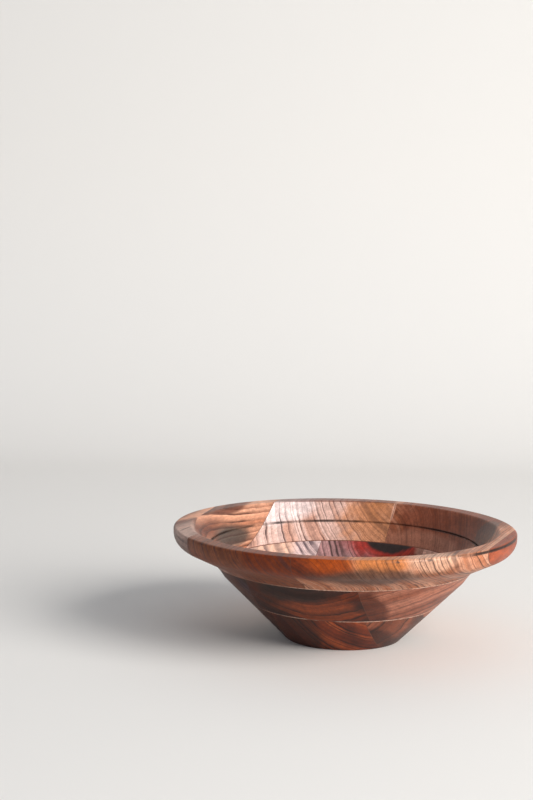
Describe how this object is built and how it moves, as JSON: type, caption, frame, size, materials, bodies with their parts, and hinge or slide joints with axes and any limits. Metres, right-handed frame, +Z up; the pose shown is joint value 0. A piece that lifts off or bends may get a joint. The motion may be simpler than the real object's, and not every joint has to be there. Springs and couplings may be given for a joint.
{
  "type": "bowl",
  "caption": "Wide turned wooden bowl of stacked, glued boards with a flat rolled rim, straight sloping wall and small flat foot.",
  "frame": {"origin": "middle of the flat foot's underside, on the surface that the bowl stands on", "axes": "+Z up along the turning axis, towards the mouth; +X to the right and +Y away from a viewer in front; the grain runs 68.5 degrees from +X towards +Y"},
  "size_m": [0.3, 0.3, 0.0982],
  "materials": {
    "wood_dark": "oiled satin, dark brown",
    "wood_heart": "oiled satin, reddish brown with dark stripes",
    "wood_pale": "oiled satin, pinkish orange with dark stripes",
    "wood_red": "oiled satin, orange red, plain",
    "glue": "dry cream wood glue"
  },
  "bodies": {
    "root": {"base_plank_left": "wood_dark", "base_plank_middle": "wood_heart", "base_plank_right": "wood_pale", "middle_ring_left": "wood_dark", "middle_ring_front": "wood_heart", "middle_ring_back": "wood_heart", "middle_ring_right": "wood_pale", "top_ring_left": "wood_dark", "top_ring_front": "wood_heart", "top_ring_back": "wood_heart", "top_ring_right": "wood_pale", "top_ring_edge_strip": "wood_red", "lower_glue_line": "glue", "upper_glue_line": "glue", "base_plank_glue": "glue", "middle_ring_glue": "glue", "top_ring_glue": "glue"}
  },
  "joints": []
}
